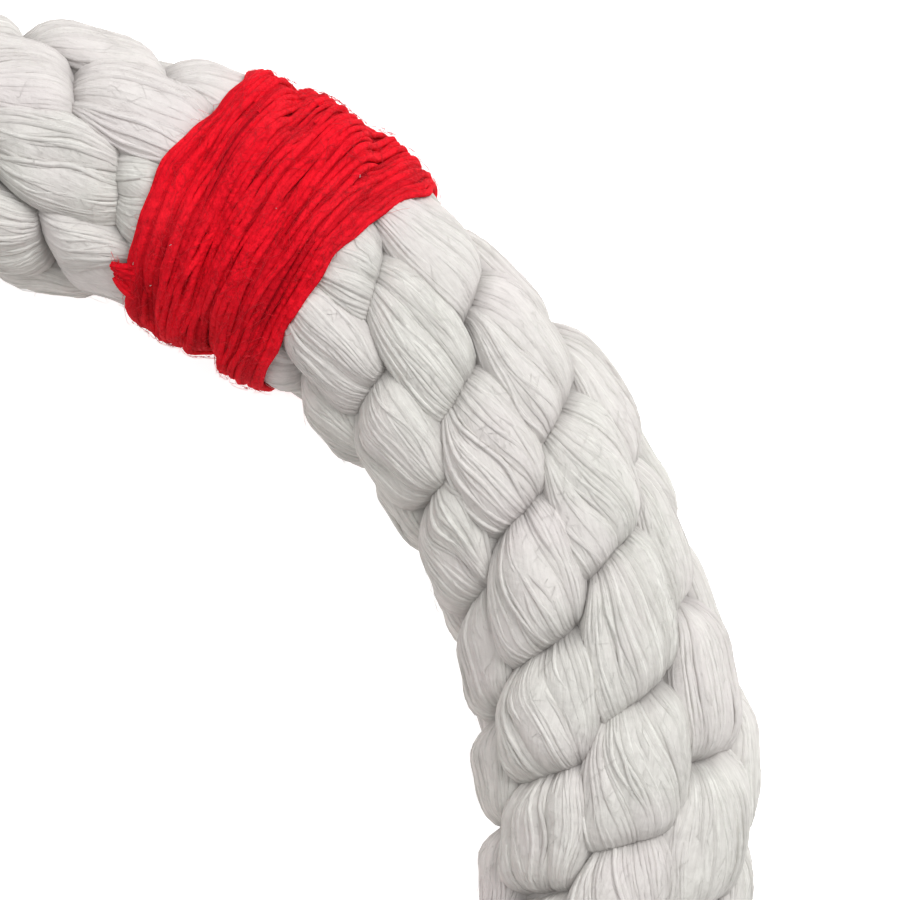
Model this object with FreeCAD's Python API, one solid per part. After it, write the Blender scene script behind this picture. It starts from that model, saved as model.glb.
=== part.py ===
"""Ring lifebuoy of braided cotton rope, 150 mm across, with four red whippings.

The rope is a four-strand alternate crown sinnet. In every layer the strands cross in a square,
each over the first strand it meets and under the second, and the next layer is laid the other
way round. So each strand runs to and fro across the rope and turns over the rope's skin in an
arch, and the arches stand in eight columns round the rope. The rope makes one full turn about
its own axis on its way round the ring, and its two ends meet under one whipping.

Frame: origin at the centre of the ring, +Z along the ring's axis, ring flat in the XY plane.
Units: millimetres and degrees.
"""
import FreeCAD, Part
import math
import os

# --- driving dimensions -------------------------------------------------------------------
RING_OD = 150.0               # over the braided rope
ROPE_D = 24.3                 # braided rope, over its arches
LAYERS = 64                   # crown layers round the ring, an even number
ROPE_TURNS = 1                # turns of the rope about its own axis round the ring
TOP_FACE_ANGLE = 20.3         # where round the ring a face of the braid looks straight up
FIRST_LAYER_ANGLE = 239.36    # where round the ring the first crown layer lies
END_GAP = 0.3                 # between the rope's two ends, under the first whipping

WHIPPING_ANGLES = (241.5, 331.5, 61.5, 151.5)   # the rope's ends meet under the first
WHIPPING_ARC = 16.0           # degrees of the ring that a whipping covers
WHIPPING_D = 28.5             # over the wound yarn
WHIPPING_BORE = 24.8          # the winding's inside, just clear of the rope's highest arches
WHIPPING_LIP = 0.5            # radius of the winding's two outer edges

TAIL_D = 1.3                  # loose end of doubled yarn, where it comes out of a whipping
TAIL_LENGTH = 2.2             # out to the middle of its round tip
TAIL_ROPE_ANGLE = -43.0       # where it lies round the rope: from the top, minus is inward

SEAM_TOLERANCE = 1e-4         # for joining a strand's facets along their edges
GIRTH_TOLERANCE = 1e-3        # for picking out a whipping's outer edges by their length

# --- derived dimensions -------------------------------------------------------------------
ROPE_R = ROPE_D / 2
RING_R = RING_OD / 2 - ROPE_R                        # centre line of the rope
LAYER_ARC = 360.0 / LAYERS                           # degrees of the ring per layer
LAYER_PITCH = math.radians(LAYER_ARC) * RING_R
STRAND_T = LAYER_PITCH / 2                           # two strands deep at every crossing

# --- strand shape, as shares of the rope's radius or of the layer's pitch ---------------------
LANE = 0.33                   # centre of a run, from the rope's axis
RUN_HALF_WIDTH = 0.225
ARCH_CENTRE = 22.5            # degrees from the face's middle to the arch's middle
ARCH_HALF_ANGLE = 21.5
THICKNESS_SHARE = 0.94        # of STRAND_T that the yarn fills
SECTION_SIDES = 8
SECTION_ROUNDNESS = 0.6       # 1 is an ellipse, 0 a rectangle

# An arch's stations: distance out, height from the lower layer, turn of the section in degrees,
# and how far the section has spread from a straight run (0) to the round of the rope (1).
# The second half of an arch mirrors the first.
HALF_ARCH = (
    (0.86, -0.17, 45.0, 1.0),
    (0.885, 0.13, 90.0, 1.0),
)
ARCH_TOP = (0.90, 0.5, 90.0, 1.0)


def flattened(value):
    """A cosine or sine drawn out towards the corners of the section."""
    return math.copysign(abs(value) ** SECTION_ROUNDNESS, value)


SECTION_TURNS = [math.tau * (i + 0.5) / SECTION_SIDES for i in range(SECTION_SIDES)]
SECTION = [(flattened(math.cos(a)), flattened(math.sin(a))) for a in SECTION_TURNS]


def ring_point(out, up, angle):
    """A point of the ring from its offset out from and up off the rope's centre line."""
    a = math.radians(angle)
    r = RING_R + out
    return FreeCAD.Vector(r * math.cos(a), r * math.sin(a), up)


def rope_point(x, y, angle):
    """A point of the rope's own section, which turns with the rope, carried into the ring."""
    t = math.radians(ROPE_TURNS * (angle - TOP_FACE_ANGLE))
    out = x * math.cos(t) + y * math.sin(t)
    up = y * math.cos(t) - x * math.sin(t)
    return ring_point(out, up, angle)


def station(strand, side, out, height, turn, spread):
    """The outline of one strand at one station, as the corners of its faceted skin.

    side is +1 where the strand heads for its own arch face and -1 on the way back, out is the
    distance from the rope's axis towards that face, and height is in layers from the first.
    """
    a = math.radians(turn)
    outline = []
    for across, through in SECTION:
        depth = through * THICKNESS_SHARE * STRAND_T / 2
        y = out * ROPE_R - side * depth * math.sin(a)
        level = height + depth * math.cos(a) / LAYER_PITCH
        lane = ROPE_R * (LANE + RUN_HALF_WIDTH * across)
        fan = math.radians(ARCH_CENTRE + ARCH_HALF_ANGLE * across)
        x_face = (1 - spread) * lane + spread * y * math.sin(fan)
        y_face = side * ((1 - spread) * y + spread * y * math.cos(fan))
        q = math.radians(90.0 * strand)
        x = x_face * math.cos(q) - y_face * math.sin(q)
        y = x_face * math.sin(q) + y_face * math.cos(q)
        outline.append(rope_point(x, y, FIRST_LAYER_ANGLE + level * LAYER_ARC))
    return outline


def layer_stations(layer):
    """The stations of one layer's run and of the arch that leads up to the next layer."""
    side = 1 if layer % 2 == 0 else -1
    dip = STRAND_T / 2 / LAYER_PITCH
    near, far = LANE - RUN_HALF_WIDTH, LANE + RUN_HALF_WIDTH
    run = [(out, dip if out < 0 else -dip, 0.0, 0.0) for out in (-far, -near, near, far)]
    rise = list(HALF_ARCH)
    fall = [(out, 1 - up, 180.0 - turn, spread) for out, up, turn, spread in reversed(rise)]
    stations = []
    for out, up, turn, spread in run + rise + [ARCH_TOP] + fall:
        turn = turn if side > 0 else 180.0 - turn
        stations.append((side, out, layer + up, turn, spread))
    return stations


def strand_solid(strand):
    """One strand, from the rope's one end to its other."""
    walk = []
    for layer in range(-1, LAYERS):
        walk += layer_stations(layer)
    per_layer = len(walk) // (LAYERS + 1)
    top = per_layer - len(HALF_ARCH) - 1
    walk = walk[top:top + LAYERS * per_layer + 1]
    gap = END_GAP / 2 / LAYER_PITCH
    side, out, height, turn, spread = walk[0]
    walk[0] = (side, out, height + gap, turn, spread)
    side, out, height, turn, spread = walk[-1]
    walk[-1] = (side, out, height - gap, turn, spread)
    outlines = [station(strand, *place) for place in walk]

    points = [p for outline in outlines for p in outline]
    around = len(SECTION)
    facets = []
    for row in range(len(outlines) - 1):
        for i in range(around):
            a, b = row * around + i, row * around + (i + 1) % around
            c, d = a + around, b + around
            facets += [(a, b, d), (a, d, c)]
    last = (len(outlines) - 1) * around
    for i in range(1, around - 1):
        facets += [(0, i + 1, i), (last, last + i, last + i + 1)]
    shape = Part.Shape()
    shape.makeShapeFromMesh((points, facets), SEAM_TOLERANCE)
    solid = Part.Solid(Part.Shell(shape.Faces))
    if solid.Volume < 0:
        solid.reverse()
    return solid


def along_ring(angle):
    """The direction in which the rope runs round the ring, anticlockwise from above."""
    a = math.radians(angle)
    return FreeCAD.Vector(-math.sin(a), math.cos(a), 0)


def bent_cylinder(diameter, start, arc):
    """A round bar about the rope's centre line, bent with the ring."""
    circle = Part.makeCircle(diameter / 2, ring_point(0, 0, start), along_ring(start))
    return Part.Face(Part.Wire(circle)).revolve(FreeCAD.Vector(), FreeCAD.Vector(0, 0, 1), arc)


def whipping_solid(middle):
    """A close winding of yarn round the rope: a sleeve bent with the ring, with soft edges."""
    start = middle - WHIPPING_ARC / 2
    body = bent_cylinder(WHIPPING_D, start, WHIPPING_ARC)
    girth = math.pi * WHIPPING_D
    rims = [e for e in body.Edges if e.Closed and abs(e.Length - girth) < GIRTH_TOLERANCE]
    body = body.makeFillet(WHIPPING_LIP, rims)
    return body.cut(bent_cylinder(WHIPPING_BORE, start, WHIPPING_ARC)).Solids[0]


def tail_solid(middle):
    """The loose end of a whipping's yarn: a short round stub that stands on the winding's edge."""
    edge = middle + WHIPPING_ARC / 2
    lift = (WHIPPING_BORE + TAIL_D) / 2
    a = math.radians(TAIL_ROPE_ANGLE)
    root = ring_point(lift * math.sin(a), lift * math.cos(a), edge)
    along = along_ring(edge)
    stub = Part.makeCylinder(TAIL_D / 2, TAIL_LENGTH, root, along)
    tip = Part.makeSphere(TAIL_D / 2, root + along * TAIL_LENGTH)
    return stub.fuse(tip).Solids[0]


os.makedirs("parts", exist_ok=True)
for number, letter in enumerate("abcd"):
    strand_solid(number).exportStep(f"parts/strand_{letter}.step")
for number, middle in enumerate(WHIPPING_ANGLES, 1):
    whipping_solid(middle).exportStep(f"parts/whipping_{number}.step")
    tail_solid(middle).exportStep(f"parts/whipping_tail_{number}.step")
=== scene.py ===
"""The looks of a small ring lifebuoy: braided off-white cotton rope with red yarn whippings.

The rope is a four-strand crown sinnet. Every bulge on its skin is one arch of one strand, and an
arch is laid here yarn by yarn: the yarns come up out of the crevice behind it, fan out, lie side
by side in two or three bundles, and dive into the crevice ahead. The red whippings are wound turn
by turn over the relief of those arches.

A place on the braid is psi (degrees round the rope, in step with the braid's turn), rho (distance
off the rope's centre line) and level (crown layers along the rope). A place on the ring is angle
(round the ring), phi (round the rope, from its top towards the ring's outside) and rho.
"""
import math

import bpy
import numpy as np
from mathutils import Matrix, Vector


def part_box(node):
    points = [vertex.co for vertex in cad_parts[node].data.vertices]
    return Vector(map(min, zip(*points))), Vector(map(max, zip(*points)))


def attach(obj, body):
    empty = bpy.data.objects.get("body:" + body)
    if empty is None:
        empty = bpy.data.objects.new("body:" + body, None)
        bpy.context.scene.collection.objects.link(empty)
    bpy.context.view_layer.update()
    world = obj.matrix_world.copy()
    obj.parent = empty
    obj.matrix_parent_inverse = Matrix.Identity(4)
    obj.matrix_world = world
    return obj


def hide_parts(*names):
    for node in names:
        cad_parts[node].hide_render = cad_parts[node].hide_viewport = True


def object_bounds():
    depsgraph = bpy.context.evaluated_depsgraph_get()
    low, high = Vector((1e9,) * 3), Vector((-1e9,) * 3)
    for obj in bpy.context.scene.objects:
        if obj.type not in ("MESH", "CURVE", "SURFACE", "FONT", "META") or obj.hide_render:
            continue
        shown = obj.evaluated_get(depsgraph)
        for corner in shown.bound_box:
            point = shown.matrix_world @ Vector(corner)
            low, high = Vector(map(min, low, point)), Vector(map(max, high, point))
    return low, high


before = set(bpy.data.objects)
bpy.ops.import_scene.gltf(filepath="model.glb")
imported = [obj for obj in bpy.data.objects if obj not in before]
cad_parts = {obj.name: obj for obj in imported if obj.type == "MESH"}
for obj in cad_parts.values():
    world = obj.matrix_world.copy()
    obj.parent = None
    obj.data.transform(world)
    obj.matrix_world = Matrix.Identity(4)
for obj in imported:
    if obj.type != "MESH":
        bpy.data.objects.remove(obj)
cad_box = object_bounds()

MM = 0.001

# --- the rope ----------------------------------------------------------------------------------
ROPE_R = 12.15 * MM           # over the arches
RING_R = 62.85 * MM           # centre line of the rope
LAYERS = 64
LAYER_ARC = 360.0 / LAYERS
FIRST_LAYER_ANGLE = 239.36    # where round the ring the first crown layer lies
TOP_FACE_ANGLE = 20.3         # where round the ring a face of the braid looks straight up
STRAND_COLUMNS = {"a": (0, 3), "b": (6, 1), "c": (4, 7), "d": (2, 5)}   # of arches on the skin
COLUMN_ARC = 45.0
STRAND_PIECES = 3             # pieces, end to end round the ring, that hold a strand's yarns
WHIPPINGS = 4
SLIP_LEVELS = (31.0, 34.7, 48.0, 49.7)   # between two whippings the braid sits a layer back
SWELL = 0.105                 # how much fuller the rope is midway between two whippings
SWELL_ANGLE = 9.0             # where round the ring it is fullest
SWELL_SHARPNESS = 1.1
WAIST = -0.072                # how much narrower than its usual size it is beside a whipping

# --- one arch: u runs along it from 0 at its end of greater level to 1, v across it from -1 to 1
ARCH_TOP_R = ROPE_R + 0.35 * MM
ARCH_DIVE_R = ROPE_R - 3.2 * MM
ARCH_SPAN = 2.14              # layers from end to end, a little more than the pitch of two
ARCH_SHIFT = -0.05            # layers by which the whole arch sits back
ARCH_HALF_WIDTH = 22.5        # degrees round the rope
ARCH_BELLY = 1.22             # width at the middle and at the ends, as shares of that
ARCH_START = 0.80
ARCH_END = 0.92
ARCH_TAPER = 2.2              # power by which it narrows from its middle to its ends
ARCH_DOME = 1.12 * MM         # how much lower its sides lie than its middle
DOME_POWER = 2.4
ARCH_TUCK = 0.75 * MM         # how much further its very edges are tucked in
TUCK_START = 0.8              # where across the arch the tuck starts, and how far it reaches
TUCK_REACH = 0.2
ARCH_LUMP = 0.30 * MM
ARCH_SLANT = 0.20             # layers by which its side of greater psi runs ahead of its middle
START_SHIFT = 0.12            # how far to one side it starts at u = 0, as a share of its half width
RISE_SHARE = 0.36             # of the arch's length, for its rise and for its dive
RISE_POWERS = (2.0, 0.8)
DIVE_SHARE = 0.40
DIVE_POWERS = (3.0, 0.65)
CREVICE_SHADE_DEPTHS = (1.2 * MM, 3.3 * MM)   # below an arch's top, where painted shade in a crevice starts and where it is full
HEART_DEPTH = 2.8 * MM        # of the rope's inside below its skin

# How much arches differ, as standard deviations.
ARCHES_SEED = 11
PSI_SPREAD = 1.3              # degrees round the rope
LEVEL_SPREAD = 0.04           # layers
LIFT_SPREAD = 0.32            # millimetres
WIDTH_MEAN = 1.02             # in shares of the usual half width, as is the next
WIDTH_SPREAD = 0.04
SLANT_SPREAD = 0.07           # layers

# --- white yarn ------------------------------------------------------------------------------
YARNS_PER_ARCH = 34
YARN_R = 0.24 * MM
YARN_STATIONS = 15
YARN_SIDES = 6
YARN_TWIST = 0.3              # radians per millimetre
YARN_SHOW = 0.08 * MM         # how far the yarns stand out of the fibres packed between them
YARNS_PER_PLY = 3             # neighbouring yarns that rise and fall together
BUNDLE_GROOVE = 0.52 * MM     # depth of the grooves between an arch's bundles
TWO_BUNDLES_SHARE = 0.6       # of the arches, which have one groove; the others have two
ONE_GROOVE = ((-0.3, 0.3),)   # from where to where across the arch a groove's middle may lie
TWO_GROOVES = ((-0.55, -0.3), (0.25, 0.5))
GROOVE_SLOPES = (0.3, 1.3)    # how far it may run across the arch from end to end
GROOVE_LIMIT = 0.9            # furthest place across the arch that it reaches
CROSSING_SHARE = 0.07         # of the yarns, which bow out over their neighbours
CROSSING_BOW = 0.16           # how far sideways, as a share of the arch's half width
CROSSING_LIFT = 0.09 * MM
YARN_WANDER = 0.026           # how far sideways any yarn strays, as a share of that too
YARN_PLACE_SPREAD = 0.25      # in half distances between two yarns
YARN_R_SPREAD = 0.09          # as a share of the radius
BUNDLE_HEIGHTS = 0.13         # millimetres by which bundles, plies and yarns differ in height
PLY_HEIGHTS = 0.04
YARN_HEIGHTS = 0.035
PLY_WAVE = 0.05               # millimetres by which plies and yarns wave up and down
YARN_WAVE = 0.04
PACKING_REACH = 1.2           # half width of a bundle's packing, as a share of the bundle's
PACKING_COLUMNS = 13
FUZZ_PER_ARCH = 24
FUZZ_STARTS = (0.12, 0.75)    # from where to where along the arch a loose fibre may start
FUZZ_RUNS = (0.05, 0.22)      # how far along the arch it may run
FUZZ_SIDE = 0.95              # furthest place across the arch where it may start
FUZZ_SLANT = 0.16             # standard deviations of how far it runs sideways and how it bends
FUZZ_BEND = 0.06
FUZZ_HUMPS = (-0.02, 0.05)    # height of its middle over its ends, and of a free end, in mm
FUZZ_FREE = (0.2, 0.6)
FUZZ_R = 0.018 * MM
FUZZ_TAPER = 0.5              # how much thinner a fibre is at its end
FUZZ_SIDES = 3
FREE_SHARE = 0.3              # of the loose fibres, which have a free end

# --- red yarn --------------------------------------------------------------------------------
WHIPPING_SEED = 100           # plus the whipping's number
WHIPPING_ARC = 16.0           # degrees of the ring
WHIPPING_TILT = 1.78          # degrees of the ring by which the winding leans
WHIPPING_TILT_PHASE = 18.6    # degrees before the rope's top at which it leans furthest ahead
# What the braid's bulges do to a whipping's far and near edge: where round the rope, by how many
# degrees of the ring, and over how many degrees round the rope.
EDGE_DENTS = ((50.0, -1.7, 32.0), (62.0, -1.0, 18.0))
DENT_POWER = 4.0              # how sharply dents and ripples fade from the edges inwards
RIPPLE_POWER = 6.0
EDGE_RIPPLE = 0.16            # degrees of the ring
EDGE_RIPPLES = ((9.0, 40.0, 1.0), (16.0, 0.0, 0.7))   # waves round the rope, start, share
BARREL_POWER = 2.5            # how sharply a winding's layers thin out towards its edges
RED_YARN_R = 0.37 * MM
RED_YARN_REST = 0.8           # height of a yarn's middle over what it lies on, of its radius
RED_SIDES = 6
RED_TWIST = 1.5               # radians per millimetre
RED_TONES = 0.6               # how far the red yarns differ in tone
RED_TURNS = 34                # whole turns of the under-layer
RED_STATIONS = 80
FIRST_PHI = 150.0             # where round the rope a turn starts
TURNS_ARC = WHIPPING_ARC - 0.6
COVERED_SHARE = 0.93          # of a turn's half width, which the outer lengths cover; there the turns get painted shade
COVERED_SHADE = 0.4
TURNS_WANDER = 0.016          # sideways, as a share of the winding's half width
TURNS_HEIGHTS = 0.08          # standard deviation and wave of the turns' heights, in millimetres
TURNS_WAVE = 0.05
TURNS_R_WAVE = 0.06           # how much a turn's thickness comes and goes
TURNS_LIFT = 0.85 * MM        # each kind of yarn lies so far above the relief, at the middle
SKIN_LIFT = 1.0 * MM
SKIN_REACH = 0.95             # of the winding's half width
SKIN_GRID = (25, 121)         # points across the winding and round the rope
OUTER_LIFT = 1.5 * MM
FUZZ_LIFT = 1.58 * MM
OUTER_COUNT = 185             # outer lengths on one whipping
OUTER_ARCS = (50.0, 125.0)    # degrees round the rope that the shortest and the longest cover
OUTER_SPAN = 1.94             # how much of a winding they cover, in half widths of it
OUTER_SLANT = 0.13            # standard deviation of how far one runs sideways, in half widths
OUTER_WANDER = 0.012          # in half widths
OUTER_HEIGHTS = 0.12          # in millimetres, either way
OUTER_WAVE = 0.04             # in millimetres
OUTER_DIP = 0.45              # how much lower an outer length's ends lie, in millimetres
OUTER_R_MEAN = 0.95           # shares of the red yarn's radius
OUTER_R_WAVE = 0.07
RED_FUZZ = 1500
RED_LINT = 9                  # of which so many are bits of white lint
FUZZ_ARC = 9.0                # standard deviation of a loose fibre's reach, degrees round the rope
LINT_ARC = 1.5
FUZZ_CROSSING = 0.010         # its reach and bend across the winding, for each degree of that
FUZZ_WAVING = 0.003
FUZZ_SPAN = 0.98              # of the winding's half width, where loose fibres start
RED_FUZZ_HUMPS = (-0.1, 0.16)
RED_FUZZ_FREE = (0.1, 0.4)
RED_FUZZ_R = 1.25 * FUZZ_R
RED_FUZZ_TINT = 0.85
LINT_THICKER = 2.3

# --- the loose end of a whipping's yarn --------------------------------------------------------
TAIL_ROPE_ANGLE = -43.0       # where it lies round the rope: from the top, minus is inward
TAIL_YARNS = 11
TAIL_BASE = 17.0              # degrees round the rope that the flap spans at the winding
TAIL_TIP = 5.0                # and at the tip
TAIL_ROOT = 0.9               # degrees of the ring by which its yarns start inside the winding
TAIL_REACH = 1.45             # degrees of the ring from the winding to the tip
TAIL_LIFT = 0.60              # millimetres over the relief
TAIL_HEIGHTS = 0.15           # millimetres by which the yarns differ in height
TAIL_DROP = 0.3               # millimetres by which the tip lies lower
TAIL_YARN_R = 0.8 * RED_YARN_R
TAIL_TAPER = 0.45             # how much thinner a yarn is at the tip
TAIL_FUZZ = 70
TAIL_FUZZ_R = 1.5 * FUZZ_R

# --- the braid's relief under a whipping -------------------------------------------------------
RELIEF_ROWS = 144             # round the rope
RELIEF_COLUMNS = LAYERS * 12  # along it
RELIEF_ROUNDS = 4             # of softening
RELIEF_LIFT = 0.1 * MM
RELIEF_SAMPLES = (60, 50)     # points along and across each arch that is laid into it
HOLLOW_GAIN = 1.6             # how much deeper the hollows show in the winding

# --- camera, light and floor -------------------------------------------------------------------
RING_OUTER = RING_R + ROPE_R
VIEW_CENTRE = (0.6303 * RING_OUTER, 0.4636 * RING_OUTER, 0.0)   # of the photo, on the ring
VIEW_WIDTH = 1.1152 * RING_OUTER
LENS = 100.0                  # millimetres, as is the sensor's width
SENSOR = 36.0
FLOOR_HALF = 1.5              # half the floor's side
WORLD_COLOUR = (1.0, 0.972, 0.96)
WORLD_STRENGTH = 0.39


def smooth(low, high, x):
    """A soft step from 0 at low to 1 at high."""
    t = np.clip((x - low) / (high - low), 0.0, 1.0)
    return t * t * (3.0 - 2.0 * t)


def shoulder(x, powers):
    """A rounded rise from 0 at 0 to 1 at 1."""
    inner, outer = powers
    return (1.0 - (1.0 - np.clip(x, 0.0, 1.0)) ** inner) ** outer


def wavy(rng, x, waves, size=1.0):
    """A smooth random wave over x in turns, of about the given size."""
    total = np.zeros_like(x)
    for k in range(1, waves + 1):
        total += rng.normal(0.0, 1.0 / k) * np.sin(math.tau * k * x + rng.uniform(0.0, math.tau))
    return size * total


# --- places on the braid and on the ring -------------------------------------------------------
def braid_angle(level):
    """Degrees of the ring at a layer of the braid, eased to its slipped place and back."""
    start, slipped, leave, end = SLIP_LEVELS
    slip = smooth(start, slipped, level) - smooth(leave, end, level)
    return FIRST_LAYER_ANGLE + (level - slip) * LAYER_ARC


def braid_level(angle):
    """The layer of the braid at a place on the ring, the other way round."""
    levels = np.linspace(0.0, LAYERS, 20 * LAYERS + 1)
    turned = FIRST_LAYER_ANGLE + (angle - FIRST_LAYER_ANGLE) % 360.0
    return np.interp(turned, braid_angle(levels), levels)


def ring_points(angle, phi, rho):
    """Points of the ring, with angle and phi in radians. The rope is fuller between whippings."""
    wave = np.cos(WHIPPINGS * (angle - math.radians(SWELL_ANGLE))) - 1.0
    swell = 1.0 + WAIST + SWELL * np.exp(SWELL_SHARPNESS * wave)
    r = RING_R + rho * swell * np.sin(phi)
    return np.stack([r * np.cos(angle), r * np.sin(angle), rho * swell * np.cos(phi)], axis=-1)


def braid_points(psi, rho, level):
    """Points of the ring from places on the braid."""
    angle = braid_angle(level)
    phi = np.radians(psi + angle - TOP_FACE_ANGLE)
    return ring_points(np.radians(angle), phi, rho)


def ring_path(angle, phi, rho):
    """Points of the ring, and at each the direction off the rope's skin."""
    path = ring_points(angle, phi, rho)
    return path, (ring_points(angle, phi, rho + MM) - path) / MM


def braid_path(psi, rho, level):
    """The same from places on the braid."""
    path = braid_points(psi, rho, level)
    return path, (braid_points(psi, rho + MM, level) - path) / MM


# --- meshes ------------------------------------------------------------------------------------
class MeshParts:
    """Vertices, faces and what the materials read, gathered part by part into one mesh.

    Each vertex carries "fibre", its place along and round its yarn, and "look": the yarn's tone,
    the arch's tint and the painted shade it gets deep in a crevice or under other yarn,
    each from 0 to 1.
    """

    def __init__(self):
        self.points, self.fibre, self.look, self.quads, self.slots = [], [], [], [], []
        self.count = 0

    def add_grid(self, points, fibre, look, wrap, slot=0):
        """A batch of grids of shape (n, rows, columns, 3), joined round the columns if wrap."""
        n, rows, cols, _ = points.shape
        index = np.arange(n * rows * cols).reshape(n, rows, cols) + self.count
        right = np.roll(index, -1, axis=2)
        if not wrap:
            index, right = index[:, :, :-1], right[:, :, :-1]
        quads = np.stack(
            [index[:, :-1], right[:, :-1], right[:, 1:], index[:, 1:]], axis=-1).reshape(-1, 4)
        self.points.append(points.reshape(-1, 3))
        self.fibre.append(fibre.reshape(-1, 3))
        self.look.append(look.reshape(-1, 3))
        self.quads.append(quads)
        self.slots.append(np.full(len(quads), slot, dtype=np.int32))
        self.count += n * rows * cols

    def build(self, name, materials):
        """The object that holds everything gathered."""
        points = np.concatenate(self.points).astype(np.float32)
        quads = np.concatenate(self.quads).astype(np.int32)
        mesh = bpy.data.meshes.new(name)
        mesh.vertices.add(len(points))
        mesh.vertices.foreach_set("co", points.ravel())
        mesh.loops.add(quads.size)
        mesh.loops.foreach_set("vertex_index", quads.ravel())
        mesh.polygons.add(len(quads))
        mesh.polygons.foreach_set("loop_start", np.arange(0, quads.size, 4, dtype=np.int32))
        mesh.polygons.foreach_set("use_smooth", np.ones(len(quads), dtype=bool))
        mesh.polygons.foreach_set("material_index", np.concatenate(self.slots))
        for label, values in (("fibre", self.fibre), ("look", self.look)):
            layer = mesh.attributes.new(label, "FLOAT_VECTOR", "POINT")
            layer.data.foreach_set("vector", np.concatenate(values).astype(np.float32).ravel())
        mesh.update(calc_edges=True)
        mesh.validate()
        obj = bpy.data.objects.new(name, mesh)
        bpy.context.collection.objects.link(obj)
        for material in materials:
            mesh.materials.append(material)
        return obj


def add_tubes(parts, paths, ups, radii, tones, tints, sides, twist=0.0, painted_shade=0.0, slot=0):
    """Round yarns along paths of shape (n, stations, 3), darkened from 0 to 1 by painted shade."""
    n, stations, _ = paths.shape
    painted_shade = painted_shade * np.ones((n, stations))
    tangent = np.gradient(paths, axis=1)
    tangent /= np.linalg.norm(tangent, axis=-1, keepdims=True)
    normal = ups - tangent * np.sum(ups * tangent, axis=-1, keepdims=True)
    normal /= np.linalg.norm(normal, axis=-1, keepdims=True)
    side = np.cross(tangent, normal)
    turn = np.arange(sides) / sides * math.tau
    ring = (normal[:, :, None] * np.cos(turn)[None, None, :, None]
            + side[:, :, None] * np.sin(turn)[None, None, :, None])
    points = paths[:, :, None] + ring * radii[:, :, None, None]
    steps = np.linalg.norm(np.diff(paths, axis=1), axis=-1)
    run = np.concatenate([np.zeros((n, 1)), np.cumsum(steps, axis=1)], axis=1) / MM
    spin = turn[None, None, :] + twist * run[:, :, None]
    # Each yarn's tone also sets which stretch of the noise it reads, so that no two look alike.
    fibre = np.stack([
        np.cos(spin) + 40.0 * tones[:, None, None],
        np.sin(spin) + 17.0 * tones[:, None, None],
        np.broadcast_to(run[:, :, None] + 90.0 * tones[:, None, None], spin.shape)], axis=-1)
    look = np.stack(np.broadcast_arrays(
        tones[:, None, None], tints[:, None, None], painted_shade[:, :, None]), axis=-1)
    look = np.broadcast_to(look, points.shape)
    parts.add_grid(points, fibre, look, wrap=True, slot=slot)


# --- arches ----------------------------------------------------------------------------------
def make_arches():
    """The arches of every column, each with its own small differences."""
    rng = np.random.default_rng(ARCHES_SEED)
    arches = []
    for strand, columns in STRAND_COLUMNS.items():
        for column in columns:
            for layer in range(column % 2, LAYERS, 2):
                arches.append(dict(
                    strand=strand,
                    psi=COLUMN_ARC * (column + 0.5) + rng.normal(0.0, PSI_SPREAD),
                    level=layer + 0.5 + rng.normal(0.0, LEVEL_SPREAD),
                    lift=rng.normal(0.0, LIFT_SPREAD) * MM,
                    width=rng.normal(WIDTH_MEAN, WIDTH_SPREAD),
                    slant=ARCH_SLANT + rng.normal(0.0, SLANT_SPREAD),
                    tint=rng.uniform(),
                    lumps=rng.uniform(0.0, math.tau, 3),
                    seed=int(rng.integers(1 << 30))))
    return arches


def arch_surface(arch, u, v):
    """Where a yarn lies, u of the way along an arch and v across it from -1 to 1."""
    start = (1.0 - np.clip(u / 0.5, 0.0, 1.0)) ** ARCH_TAPER
    end = np.clip((u - 0.5) / 0.5, 0.0, 1.0) ** ARCH_TAPER
    width = ARCH_BELLY + (ARCH_START - ARCH_BELLY) * start + (ARCH_END - ARCH_BELLY) * end
    spread = v * width + START_SHIFT * start
    psi = arch["psi"] + ARCH_HALF_WIDTH * arch["width"] * spread
    level = arch["level"] + ARCH_SHIFT + (0.5 - u) * ARCH_SPAN + arch["slant"] * spread
    top = ARCH_TOP_R + arch["lift"] - ARCH_DOME * np.abs(spread) ** DOME_POWER
    top = top - ARCH_TUCK * np.clip((np.abs(v) - TUCK_START) / TUCK_REACH, 0.0, 1.5) ** 2
    a, b, c = arch["lumps"]
    top = top + ARCH_LUMP * np.sin(4.0 * u + a) * np.sin(3.0 * v + b) * np.sin(2.0 * u + v + c)
    rise = shoulder(u / RISE_SHARE, RISE_POWERS)
    dive = shoulder((1.0 - u) / DIVE_SHARE, DIVE_POWERS)
    rho = ARCH_DIVE_R + (top - ARCH_DIVE_R) * rise * dive
    return psi, rho, level


def crevice_shade(arch, rho):
    """Painted shade for yarn deep in a crevice, from 0 at an arch's top to 1 well down in it."""
    return smooth(*CREVICE_SHADE_DEPTHS, ARCH_TOP_R + arch["lift"] - rho)


def bundle_edges(rng, u):
    """The edges of an arch's two or three bundles, which cross it at a slant."""
    places = ONE_GROOVE if rng.uniform() < TWO_BUNDLES_SHARE else TWO_GROOVES
    middles = [rng.uniform(low, high) for low, high in places]
    slope = rng.uniform(*GROOVE_SLOPES)
    edges = [np.full_like(u, -1.0)]
    edges += [np.clip(m + slope * (u - 0.5), -GROOVE_LIMIT, GROOVE_LIMIT) for m in middles]
    edges.append(np.full_like(u, 1.0))
    return edges


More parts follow.
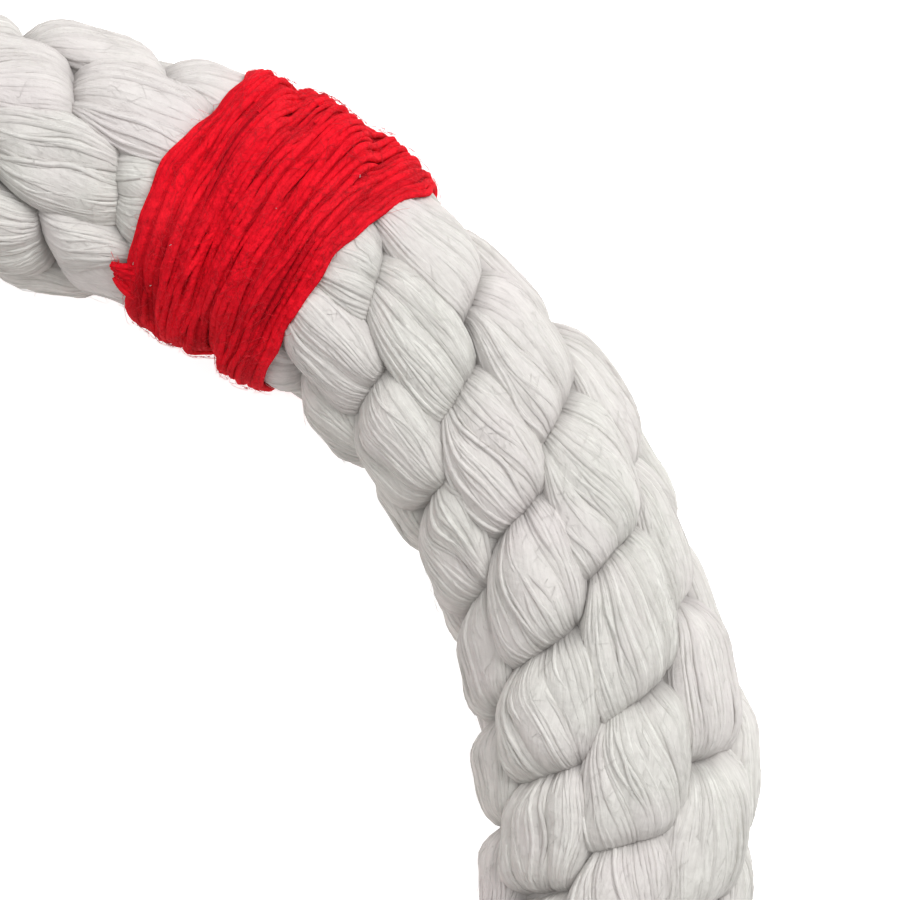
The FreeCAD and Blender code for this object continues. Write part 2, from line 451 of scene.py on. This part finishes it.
def add_arch(parts, arch):
    """Lays one arch yarn by yarn, with the fibres packed between the yarns and the stray ones."""
    rng = np.random.default_rng(arch["seed"])
    u = np.linspace(0.0, 1.0, YARN_STATIONS)
    edges = bundle_edges(rng, u)
    paths, ups, tones, painted_shades = [], [], [], []
    for low, high in zip(edges, edges[1:]):
        count = max(3, round(YARNS_PER_ARCH * float(np.mean(high - low)) / 2.0))
        height = rng.normal(0.0, BUNDLE_HEIGHTS) * MM
        for i in range(count):
            if i % YARNS_PER_PLY == 0:
                ply = rng.normal(0.0, PLY_HEIGHTS) * MM + PLY_WAVE * MM * wavy(rng, u, 2)
            t = (2.0 * (i + 0.5) / count - 1.0) + rng.normal(0.0, YARN_PLACE_SPREAD) / count
            wander = YARN_WANDER * wavy(rng, u, 2) * np.sin(math.pi * u)
            over = 0.0
            if rng.uniform() < CROSSING_SHARE:
                wander = wander + rng.choice([-1.0, 1.0]) * CROSSING_BOW * np.sin(math.pi * u)
                over = CROSSING_LIFT
            v = low + (high - low) * (t + 1.0) / 2.0 + wander
            psi, rho, level = arch_surface(arch, u, v)
            rho = rho - BUNDLE_GROOVE * abs(t) ** 3.0 + height + ply + over
            rho = rho + rng.normal(0.0, YARN_HEIGHTS) * MM + YARN_WAVE * MM * wavy(rng, u, 3)
            path, up = braid_path(psi, rho, level)
            paths.append(path)
            ups.append(up)
            tones.append(rng.uniform())
            # painted shade: yarn deep in a crevice is darkened
            painted_shades.append(crevice_shade(arch, rho))
        add_packing(parts, arch, u, low, high, height)
    radii = YARN_R * rng.normal(1.0, YARN_R_SPREAD, (len(paths), 1)) * np.ones((1, len(u)))
    radii[:, [0, -1]] *= 0.5
    tints = np.full(len(paths), arch["tint"])
    add_tubes(parts, np.array(paths), np.array(ups), radii, np.array(tones), tints,
              YARN_SIDES, YARN_TWIST, np.array(painted_shades))
    add_arch_fuzz(parts, arch, rng)


def add_packing(parts, arch, u, low, high, height):
    """The fibres between one bundle's yarns, as a skin a little below the yarns' tops.

    It is darkened with painted shade deep in a crevice, and where it reaches past the arch's sides
    it is painted as dark as a crevice's shade.
    """
    t = np.linspace(-PACKING_REACH, PACKING_REACH, PACKING_COLUMNS)[None, :]
    across = low[:, None] + (high - low)[:, None] * (t + 1.0) / 2.0
    along = u[:, None] * np.ones_like(t)
    psi, rho, level = arch_surface(arch, along, across)
    rho = rho - BUNDLE_GROOVE * np.abs(t) ** 3.0 + height
    skin, up = braid_path(psi, rho, level)
    normal = np.cross(np.gradient(skin, axis=0), np.gradient(skin, axis=1))
    normal /= np.linalg.norm(normal, axis=-1, keepdims=True)
    normal *= np.sign(np.sum(normal * up, axis=-1, keepdims=True))
    skin = skin + normal * (YARN_R - YARN_SHOW)
    fibre = np.stack([across * 9.0, level * 0.0, along * 12.0 + 50.0 * arch["tint"]], axis=-1)
    look = np.zeros(skin.shape)
    look[..., 0] = 0.6
    look[..., 1] = arch["tint"]
    # painted shade: deep in a crevice, and past the arch's sides, where only shade falls
    look[..., 2] = np.maximum(crevice_shade(arch, rho), smooth(1.0, 1.12, np.abs(across)))
    parts.add_grid(skin[None], fibre[None], look[None], wrap=False)


def add_arch_fuzz(parts, arch, rng):
    """Fine stray fibres that have worked loose from an arch's yarns, some with a free end."""
    n = FUZZ_PER_ARCH
    s = np.linspace(0.0, 1.0, 5)[None, :]
    u = rng.uniform(*FUZZ_STARTS, (n, 1)) + rng.uniform(*FUZZ_RUNS, (n, 1)) * s
    v = rng.uniform(-FUZZ_SIDE, FUZZ_SIDE, (n, 1)) + rng.normal(0.0, FUZZ_SLANT, (n, 1)) * s
    v = v + rng.normal(0.0, FUZZ_BEND, (n, 1)) * np.sin(math.tau * s)
    psi, rho, level = arch_surface(arch, u, v)
    hump = rng.uniform(*FUZZ_HUMPS, (n, 1)) * MM * np.sin(math.pi * s)
    free = (rng.uniform(size=(n, 1)) < FREE_SHARE) * rng.uniform(*FUZZ_FREE, (n, 1)) * MM * s
    paths, ups = braid_path(psi, rho + YARN_R + hump + free, level)
    radii = FUZZ_R * np.ones((n, 1)) * (1.0 - FUZZ_TAPER * s)
    add_tubes(parts, paths, ups, radii, rng.uniform(size=n), np.full(n, arch["tint"]),
              sides=FUZZ_SIDES)


def add_heart(parts, quarter, start, end):
    """A quarter of the rope's inside, where the strands cross: the floor of the crevices."""
    levels = np.linspace(start, end, 97)
    psi = np.linspace(90.0 * quarter - 1.0, 90.0 * quarter + 91.0, 9)
    level, around = np.meshgrid(levels, psi, indexing="ij")
    points = braid_points(around, np.full(level.shape, ROPE_R - HEART_DEPTH), level)
    # painted shade: a dark tone and full shade, as at the bottom of a crevice
    look = np.zeros(points.shape)
    look[..., 0] = 0.8
    look[..., 2] = 1.0
    parts.add_grid(points[None], points[None] / MM, look[None], wrap=False)


# --- whippings -------------------------------------------------------------------------------
def whipping_middle(node):
    """Degrees of the ring at the middle of a whipping of the frame."""
    low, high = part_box(node)
    return math.degrees(math.atan2(low[1] + high[1], low[0] + high[0]))


def relief_map(arches):
    """Height of the braid on a grid round the rope and along it, softened as cord bridges it."""
    height = np.full((RELIEF_ROWS, RELIEF_COLUMNS), ARCH_DIVE_R)
    along, across = RELIEF_SAMPLES
    u = np.linspace(0.03, 0.97, along)
    u, v = np.meshgrid(u, np.linspace(-1.0, 1.0, across), indexing="ij")
    for arch in arches:
        psi, rho, level = arch_surface(arch, u, v)
        row = np.round(psi / 360.0 * RELIEF_ROWS).astype(int) % RELIEF_ROWS
        col = np.round(level / LAYERS * RELIEF_COLUMNS).astype(int) % RELIEF_COLUMNS
        np.maximum.at(height, (row.ravel(), col.ravel()), rho.ravel())
    for _ in range(RELIEF_ROUNDS):
        around = np.maximum(height, (np.roll(height, 2, 0) + np.roll(height, -2, 0)) / 2.0)
        height = (np.roll(around, 1, 0) + np.roll(around, -1, 0) + around) / 3.0
        height = (np.roll(height, 1, 1) + np.roll(height, -1, 1) + 2.0 * height) / 4.0
    hollow = np.minimum(height - float(np.mean(height)), 0.0)
    return height + (HOLLOW_GAIN - 1.0) * hollow + YARN_R + RELIEF_LIFT


def relief_at(relief, angle, phi):
    """The relief's height at a place on the ring, with angle and phi in degrees."""
    rows, cols = relief.shape
    row = (phi - (angle - TOP_FACE_ANGLE)) / 360.0 * rows
    col = braid_level(angle) / LAYERS * cols
    r0, c0 = np.floor(row).astype(int), np.floor(col).astype(int)
    fr, fc = row - r0, col - c0
    r0, r1, c0, c1 = r0 % rows, (r0 + 1) % rows, c0 % cols, (c0 + 1) % cols
    return ((1 - fr) * (1 - fc) * relief[r0, c0] + fr * (1 - fc) * relief[r1, c0]
            + (1 - fr) * fc * relief[r0, c1] + fr * fc * relief[r1, c1])


def winding_offset(along, phi):
    """Degrees of the ring from a winding's middle, for along from -1 to 1 across it."""
    lean = WHIPPING_TILT * np.cos(np.radians(phi + WHIPPING_TILT_PHASE))
    offset = WHIPPING_ARC / 2.0 * along + lean
    for side, (place, size, spread) in zip((1.0, -1.0), EDGE_DENTS):
        gap = (phi - place + 180.0) % 360.0 - 180.0
        near = np.clip(side * along, 0.0, 1.0) ** DENT_POWER
        offset = offset + size * near * np.exp(-(gap / spread) ** 2)
    ripple = 0.0
    for waves, start, share in EDGE_RIPPLES:
        ripple = ripple + share * np.sin(np.radians(waves * phi + start))
    return offset + EDGE_RIPPLE * np.abs(along) ** RIPPLE_POWER * ripple


def winding_place(relief, middle, along, phi, lift, arc=WHIPPING_ARC):
    """A place on a winding, along from -1 to 1 across its arc, pulled down on what is beneath."""
    angle = middle + winding_offset(along * arc / WHIPPING_ARC, phi)
    barrel = 1.0 - np.clip(np.abs(along) * arc / WHIPPING_ARC, 0.0, 1.0) ** BARREL_POWER
    rho = relief_at(relief, angle, phi) + RED_YARN_R * RED_YARN_REST + lift * barrel
    return np.radians(angle), np.radians(phi), rho


def add_red_yarn(parts, place, radius, tone, painted_shade=0.0):
    """One red yarn through the places of a winding, darkened by the painted shade given."""
    path, up = ring_path(*place)
    add_tubes(parts, path[None], up[None], radius[None], np.array([tone]), np.zeros(1),
              RED_SIDES, RED_TWIST, painted_shade)


def add_under_skin(parts, relief, middle):
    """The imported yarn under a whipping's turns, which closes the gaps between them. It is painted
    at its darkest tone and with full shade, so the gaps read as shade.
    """
    rows, cols = SKIN_GRID
    along = np.linspace(-SKIN_REACH, SKIN_REACH, rows)[:, None] * np.ones((1, cols))
    phi = np.ones((rows, 1)) * np.linspace(0.0, 360.0, cols)[None, :]
    skin = ring_points(*winding_place(relief, middle, along, phi, SKIN_LIFT))
    look = np.zeros(skin.shape)
    # painted shade: the darkest tone and full shade, for gaps where only shade falls
    look[..., 0] = 1.0
    look[..., 2] = 1.0
    parts.add_grid(skin[None], skin[None] / MM, look[None], wrap=False)


def add_turns(parts, relief, middle, rng):
    """A whipping's whole turns, side by side."""
    x = np.linspace(0.0, 1.0, RED_STATIONS + 1)
    ends = smooth(0.0, 0.08, x) * smooth(1.0, 0.92, x)
    phi = 360.0 * x + FIRST_PHI
    for turn in range(RED_TURNS):
        along = 2.0 * (turn + x) / RED_TURNS - 1.0 + TURNS_WANDER * wavy(rng, x, 3) * ends
        along = np.clip(along, -1.0, 1.0)
        angle, around, rho = winding_place(relief, middle, along, phi, TURNS_LIFT, TURNS_ARC)
        uneven = rng.normal(0.0, TURNS_HEIGHTS) + TURNS_WAVE * wavy(rng, x, 6)
        rho = rho + uneven * MM * ends
        radius = RED_YARN_R * (1.0 + wavy(rng, x, 5, TURNS_R_WAVE))
        # painted shade on the turns, where the outer lengths lie over them
        painted_shade = COVERED_SHADE * (np.abs(along) < COVERED_SHARE)
        add_red_yarn(parts, (angle, around, rho), radius, RED_TONES * rng.uniform(), painted_shade)


def add_outer_lengths(parts, relief, middle, rng):
    """The outer yarn: lengths of it that slip over and under each other at a slant."""
    x = np.linspace(0.0, 1.0, 21)
    arched = OUTER_DIP * np.sin(math.pi * x) ** 0.5 - OUTER_DIP
    thinned = np.sin(math.pi * np.clip(x, 0.04, 0.96)) ** 0.3
    for i in range(OUTER_COUNT):
        phi = rng.uniform(0.0, 360.0) + rng.uniform(*OUTER_ARCS) * (x - 0.5)
        place = OUTER_SPAN * ((i + rng.uniform()) / OUTER_COUNT - 0.5)
        slant = rng.normal(0.0, OUTER_SLANT) * (1.0 - abs(place) ** 2)
        wander = OUTER_WANDER * wavy(rng, x, 4) * (1.0 - abs(place) ** 4)
        along = place + slant * (x - 0.5) + wander
        angle, around, rho = winding_place(relief, middle, along, phi, OUTER_LIFT)
        height = rng.uniform(-OUTER_HEIGHTS, OUTER_HEIGHTS)
        rho = rho + (height + arched + OUTER_WAVE * wavy(rng, x, 5)) * MM
        radius = RED_YARN_R * (OUTER_R_MEAN + wavy(rng, x, 5, OUTER_R_WAVE)) * thinned
        add_red_yarn(parts, (angle, around, rho), radius, RED_TONES * rng.uniform())


def add_red_fuzz(parts, relief, middle, rng):
    """Fine stray fibres over a whipping, the first of them short bits of white lint."""
    n = RED_FUZZ
    s = np.linspace(0.0, 1.0, 7)[None, :]
    lint = np.arange(n) < RED_LINT
    reach = np.where(lint, LINT_ARC, FUZZ_ARC)[:, None]
    phi = rng.uniform(0.0, 360.0, (n, 1)) + reach * rng.normal(0.0, 1.0, (n, 1)) * s
    along = rng.uniform(-FUZZ_SPAN, FUZZ_SPAN, (n, 1))
    along = along + reach * rng.normal(0.0, FUZZ_CROSSING, (n, 1)) * s
    along = along + reach * rng.normal(0.0, FUZZ_WAVING, (n, 1)) * np.sin(math.tau * s)
    angle, around, rho = winding_place(relief, middle, along, phi, FUZZ_LIFT)
    hump = rng.uniform(*RED_FUZZ_HUMPS, (n, 1)) * MM * np.sin(math.pi * s)
    free = (rng.uniform(size=(n, 1)) < FREE_SHARE) * rng.uniform(*RED_FUZZ_FREE, (n, 1)) * MM * s
    paths, ups = ring_path(angle, around, rho + RED_YARN_R + hump + free)
    radii = RED_FUZZ_R * np.ones((n, 1)) * (1.0 - FUZZ_TAPER * s)
    radii[lint] *= LINT_THICKER
    for chosen, slot in ((lint, 1), (~lint, 0)):
        count = int(np.sum(chosen))
        add_tubes(parts, paths[chosen], ups[chosen], radii[chosen], rng.uniform(size=count),
                  np.full(count, RED_FUZZ_TINT), sides=FUZZ_SIDES, slot=slot)


def add_tail(parts, relief, middle, rng):
    """The loose end of a whipping's yarn: a frayed flap that narrows from its edge to a tip."""
    s = np.linspace(0.0, 1.0, 11)
    for share in np.linspace(0.0, 1.0, TAIL_YARNS):
        root = TAIL_ROPE_ANGLE + 2.0 - TAIL_BASE * share
        tip = TAIL_ROPE_ANGLE - TAIL_TIP * share
        phi = root + (tip - root) * s + rng.normal(0.0, 0.6) * s
        start = winding_offset(1.0, root) - TAIL_ROOT
        reach = TAIL_REACH * (rng.uniform(0.85, 1.0) - 0.3 * share)
        stop = winding_offset(1.0, TAIL_ROPE_ANGLE) + reach
        angle = middle + start + (stop - start) * s
        lift = TAIL_LIFT + rng.normal(0.0, TAIL_HEIGHTS) - TAIL_DROP * s ** 2
        rho = relief_at(relief, angle, phi) + lift * MM
        radius = TAIL_YARN_R * (1.0 - TAIL_TAPER * s ** 3)
        add_red_yarn(parts, (np.radians(angle), np.radians(phi), rho), radius, rng.uniform())
    add_tail_fuzz(parts, relief, middle, rng)


def add_tail_fuzz(parts, relief, middle, rng):
    """Fine stray fibres round a whipping's loose end."""
    n = TAIL_FUZZ
    s = np.linspace(0.0, 1.0, 5)[None, :]
    share = rng.uniform(0.0, 1.0, (n, 1))
    phi = TAIL_ROPE_ANGLE + 3.0 - TAIL_BASE * share + rng.normal(0.0, 2.0, (n, 1)) * s
    angle = middle + winding_offset(1.0, phi) + TAIL_REACH * (1.0 - share) * (
        rng.uniform(0.3, 0.9, (n, 1)) + 0.3 * s)
    rho = relief_at(relief, angle, phi) + rng.uniform(0.1, 0.8, (n, 1)) * MM
    paths, ups = ring_path(np.radians(angle), np.radians(phi), rho)
    radii = TAIL_FUZZ_R * np.ones((n, 1)) * (1.0 - FUZZ_TAPER * s)
    add_tubes(parts, paths, ups, radii, rng.uniform(size=n), np.ones(n), sides=FUZZ_SIDES)


# --- materials -------------------------------------------------------------------------------
def new_material(name):
    """A material with one shader, and what is needed to add to it."""
    material = bpy.data.materials.new(name)
    material.use_nodes = True
    nodes, links = material.node_tree.nodes, material.node_tree.links
    nodes.clear()
    shader = nodes.new("ShaderNodeBsdfPrincipled")
    output = nodes.new("ShaderNodeOutputMaterial")
    links.new(shader.outputs["BSDF"], output.inputs["Surface"])
    return material, nodes, links, shader


def yarn_material(name, colour, shade, tint, crevice, streaks, bump, patchy, matted):
    """Soft spun yarn: fibre streaks along each yarn, yarns that differ a little in tone, and
    painted shade deep in crevices and under other yarn.
    """
    material, nodes, links, shader = new_material(name)
    shader.inputs["Roughness"].default_value = 0.9
    shader.inputs["Sheen Weight"].default_value = 0.1
    shader.inputs["Sheen Roughness"].default_value = 0.6
    shader.inputs["Sheen Tint"].default_value = (*colour, 1.0)
    shader.inputs["Specular IOR Level"].default_value = 0.08

    def attribute(label):
        """What the mesh carries under the label."""
        node = nodes.new("ShaderNodeAttribute")
        node.attribute_name = label
        return node.outputs["Vector"]

    def noise(place, scale, detail, roughness=0.5):
        """Noise over the given place."""
        node = nodes.new("ShaderNodeTexNoise")
        node.inputs["Scale"].default_value = scale
        node.inputs["Detail"].default_value = detail
        node.inputs["Roughness"].default_value = roughness
        links.new(place, node.inputs["Vector"])
        return node.outputs["Fac"]

    def ranged(source, low, high, factor):
        """The source's values from low to high, spread from 0 to the given factor."""
        node = nodes.new("ShaderNodeMapRange")
        node.inputs["From Min"].default_value = low
        node.inputs["From Max"].default_value = high
        node.inputs["To Max"].default_value = factor
        links.new(source, node.inputs["Value"])
        return node.outputs[0]

    def mixed(base, layer, factor):
        """The base colour with a second colour laid over it by the factor."""
        node = nodes.new("ShaderNodeMix")
        node.data_type = "RGBA"
        for socket, value in (("A", base), ("B", layer)):
            if isinstance(value, tuple):
                node.inputs[socket].default_value = (*value, 1.0)
            else:
                links.new(value, node.inputs[socket])
        links.new(factor, node.inputs["Factor"])
        return node.outputs["Result"]

    def raised(height, strength, distance):
        """A bump whose normal can be built on."""
        node = nodes.new("ShaderNodeBump")
        node.inputs["Strength"].default_value = strength
        node.inputs["Distance"].default_value = distance
        links.new(height, node.inputs["Height"])
        return node

    stretch = nodes.new("ShaderNodeVectorMath")
    stretch.operation = "MULTIPLY"
    stretch.inputs[1].default_value = streaks
    links.new(attribute("fibre"), stretch.inputs[0])
    place = nodes.new("ShaderNodeTexCoord").outputs["Object"]
    fibres = noise(stretch.outputs[0], scale=1.0, detail=4.0, roughness=0.6)
    patches = noise(place, scale=130.0, detail=1.0)
    felt = noise(place, scale=1200.0, detail=3.0)

    look = nodes.new("ShaderNodeSeparateXYZ")
    links.new(attribute("look"), look.inputs[0])
    tone, arch_tint, painted_shade = look.outputs["X"], look.outputs["Y"], look.outputs["Z"]
    shown = mixed(colour, shade, ranged(tone, 0.15, 1.0, 0.75))
    shown = mixed(shown, shade, ranged(felt, 0.45, 0.70, matted))
    shown = mixed(shown, shade, ranged(fibres, 0.38, 0.72, 0.8))
    shown = mixed(shown, tint, ranged(patches, 0.45, 0.75, patchy))
    shown = mixed(shown, tint, ranged(arch_tint, 0.6, 1.0, 0.5))
    # painted shade: yarn deep in a crevice or under other yarn is darkened towards the crevice
    # colour
    shown = mixed(shown, crevice, ranged(painted_shade, 0.0, 1.0, 0.85))
    links.new(shown, shader.inputs["Base Color"])

    nap = raised(felt, matted, 0.6 * MM)
    ridges = raised(fibres, bump, 0.16 * MM)
    links.new(nap.outputs["Normal"], ridges.inputs["Normal"])
    links.new(ridges.outputs["Normal"], shader.inputs["Normal"])
    return material


def floor_material():
    """A pale floor that gives a little light of its own, so that it stays white all over."""
    material, _, _, shader = new_material("pale_floor")
    shader.inputs["Roughness"].default_value = 0.9
    shader.inputs["Base Color"].default_value = (0.9, 0.9, 0.9, 1.0)
    shader.inputs["Emission Color"].default_value = (1.0, 1.0, 1.0, 1.0)
    shader.inputs["Emission Strength"].default_value = 0.57
    return material


# --- floor, lights and camera ------------------------------------------------------------------
def make_floor():
    """The floor that the ring lies on."""
    mesh = bpy.data.meshes.new("floor")
    z = cad_box[0][2]
    corners = [(-FLOOR_HALF, -FLOOR_HALF, z), (FLOOR_HALF, -FLOOR_HALF, z),
               (FLOOR_HALF, FLOOR_HALF, z), (-FLOOR_HALF, FLOOR_HALF, z)]
    mesh.from_pydata(corners, [], [(0, 1, 2, 3)])
    mesh.materials.append(floor_material())
    floor = bpy.data.objects.new("floor", mesh)
    bpy.context.collection.objects.link(floor)


def soft_light(name, place, target, size, power):
    """A round soft light that looks at its target."""
    data = bpy.data.lights.new(name, "AREA")
    data.shape = "DISK"
    data.size = size
    data.energy = power
    lamp = bpy.data.objects.new(name, data)
    bpy.context.collection.objects.link(lamp)
    lamp.location = place
    lamp.rotation_euler = (Vector(target) - Vector(place)).to_track_quat("-Z", "Y").to_euler()


def make_world():
    """Even light from all round."""
    world = bpy.data.worlds.new("studio")
    world.use_nodes = True
    background = world.node_tree.nodes["Background"]
    background.inputs["Color"].default_value = (*WORLD_COLOUR, 1.0)
    background.inputs["Strength"].default_value = WORLD_STRENGTH
    bpy.context.scene.world = world


def make_camera():
    """The photo's view: straight down on a quarter of the ring."""
    data = bpy.data.cameras.new("camera")
    data.lens = LENS
    data.sensor_width = SENSOR
    camera = bpy.data.objects.new("camera", data)
    bpy.context.collection.objects.link(camera)
    camera.location = (VIEW_CENTRE[0], VIEW_CENTRE[1], VIEW_WIDTH * LENS / SENSOR)
    bpy.context.scene.camera = camera


# --- the object ------------------------------------------------------------------------------
# The crevice colours are painted shade, which yarn deep in crevices and under other yarn is
# darkened towards.
cotton = yarn_material(
    "cotton_yarn", colour=(0.75, 0.745, 0.708), shade=(0.50, 0.487, 0.462),
    tint=(0.67, 0.62, 0.62), crevice=(0.32, 0.306, 0.298), streaks=(2.2, 2.2, 0.5),
    bump=0.7, patchy=0.5, matted=0.28)
scarlet = yarn_material(
    "red_yarn", colour=(0.88, 0.009, 0.023), shade=(0.58, 0.004, 0.013),
    tint=(0.90, 0.11, 0.13), crevice=(0.26, 0.002, 0.007), streaks=(2.0, 2.0, 0.9),
    bump=0.8, patchy=0.05, matted=0.75)

arches = make_arches()
relief = relief_map(arches)
for number, strand in enumerate(STRAND_COLUMNS):
    for piece in range(STRAND_PIECES):
        start, end = piece * LAYERS / STRAND_PIECES, (piece + 1) * LAYERS / STRAND_PIECES
        parts = MeshParts()
        for arch in arches:
            if arch["strand"] == strand and start <= arch["level"] < end:
                add_arch(parts, arch)
        add_heart(parts, number, start - 0.1, end + 0.1)
        rope = parts.build(f"rope_strand_{strand}_{piece + 1}", [cotton])
        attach(rope, "root")
        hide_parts(f"strand_{strand}")

for number in range(1, WHIPPINGS + 1):
    node = f"whipping_{number}"
    rng = np.random.default_rng(WHIPPING_SEED + number)
    middle = whipping_middle(node)
    parts = MeshParts()
    add_under_skin(parts, relief, middle)
    add_turns(parts, relief, middle, rng)
    add_outer_lengths(parts, relief, middle, rng)
    add_red_fuzz(parts, relief, middle, rng)
    winding = parts.build(f"red_{node}", [scarlet, cotton])
    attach(winding, "root")
    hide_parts(node)

    parts = MeshParts()
    add_tail(parts, relief, middle, rng)
    tail = parts.build(f"red_whipping_tail_{number}", [scarlet])
    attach(tail, "root")
    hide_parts(f"whipping_tail_{number}")

make_floor()
soft_light("key", place=(0.33, 0.33, 0.53), target=(0.03, 0.03, 0.0), size=0.5, power=4.0)
soft_light("fill", place=(-0.35, 0.05, 0.60), target=(0.0, 0.0, 0.0), size=0.6, power=1.65)
make_world()
bpy.context.scene.view_settings.view_transform = "Standard"
make_camera()
